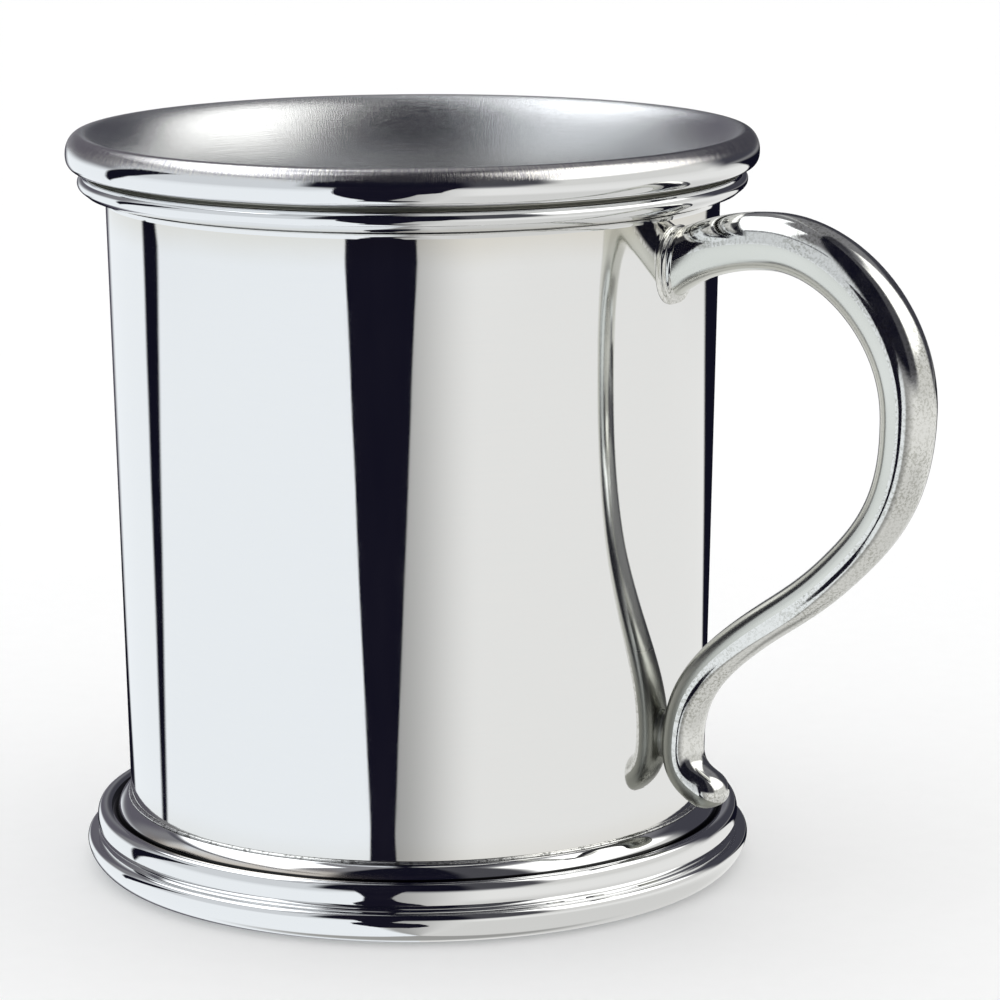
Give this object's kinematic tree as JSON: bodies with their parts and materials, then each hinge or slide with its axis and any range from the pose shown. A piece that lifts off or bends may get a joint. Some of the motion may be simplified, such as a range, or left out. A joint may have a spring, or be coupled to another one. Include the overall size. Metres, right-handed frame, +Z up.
{
  "type": "tankard",
  "caption": "Lidless pewter tankard: a slightly tapered drum with a rolled lip and bead, a stepped ring foot and a cast question-mark loop handle.",
  "frame": {"origin": "centre of the base plate's underside, on the drum's axis, 4.4 mm above the surface that the tankard stands on", "axes": "+Z up along the drum's axis, +X towards the handle, +Y completes the right-handed frame"},
  "size_m": [0.13, 0.0966, 0.1041],
  "materials": {
    "polished_pewter": "buffed to a mirror with fine scratches",
    "satin_pewter": "satin, turned and brushed",
    "cast_pewter": "polished casting with fine pitting",
    "solder": "dull, slightly rough"
  },
  "bodies": {
    "root": {"drum": "polished_pewter", "base_plate": "satin_pewter", "rim_moulding": "polished_pewter", "foot_moulding": "polished_pewter", "handle": "cast_pewter", "rim_solder": "solder", "foot_solder": "solder", "base_solder": "solder", "upper_handle_solder": "solder", "lower_handle_solder": "solder"}
  },
  "joints": []
}
